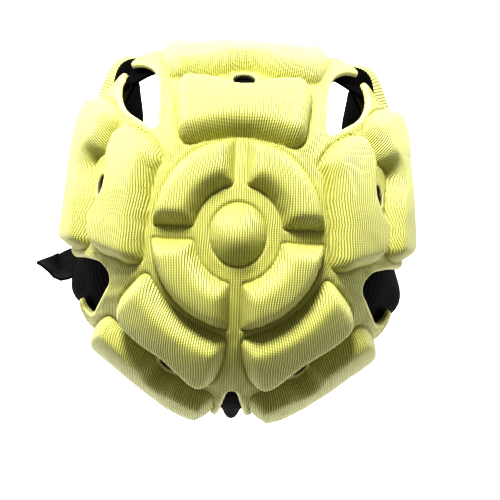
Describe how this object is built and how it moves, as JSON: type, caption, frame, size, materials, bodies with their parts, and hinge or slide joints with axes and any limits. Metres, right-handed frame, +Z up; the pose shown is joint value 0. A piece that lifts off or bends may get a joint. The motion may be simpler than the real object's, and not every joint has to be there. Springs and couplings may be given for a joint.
{
  "type": "padded head guard",
  "caption": "Soft-shell padded head guard with moulded foam pads, ear flaps, elastic straps and a chin strap, standing open and empty.",
  "frame": {"origin": "on the surface it stands on, under the middle of its footprint, the chin strap's free end included", "axes": "+Z up through the crown, the face toward -Y, the wearer's left toward +X"},
  "size_m": [0.2278, 0.224, 0.1828],
  "materials": {
    "shell": "bright yellow rib knit moulded over foam",
    "lining": "thin matt black lining",
    "elastic": "black woven elastic",
    "webbing": "black woven webbing"
  },
  "bodies": {
    "root": {"shell": "shell", "lining": "lining", "ear_flap_left": "shell", "ear_flap_right": "shell", "flap_lining_left": "lining", "flap_lining_right": "lining", "strap_front_left": "elastic", "strap_front_right": "elastic", "strap_side_left": "elastic", "strap_side_right": "elastic", "strap_rear": "elastic", "chin_strap": "webbing"}
  },
  "joints": []
}
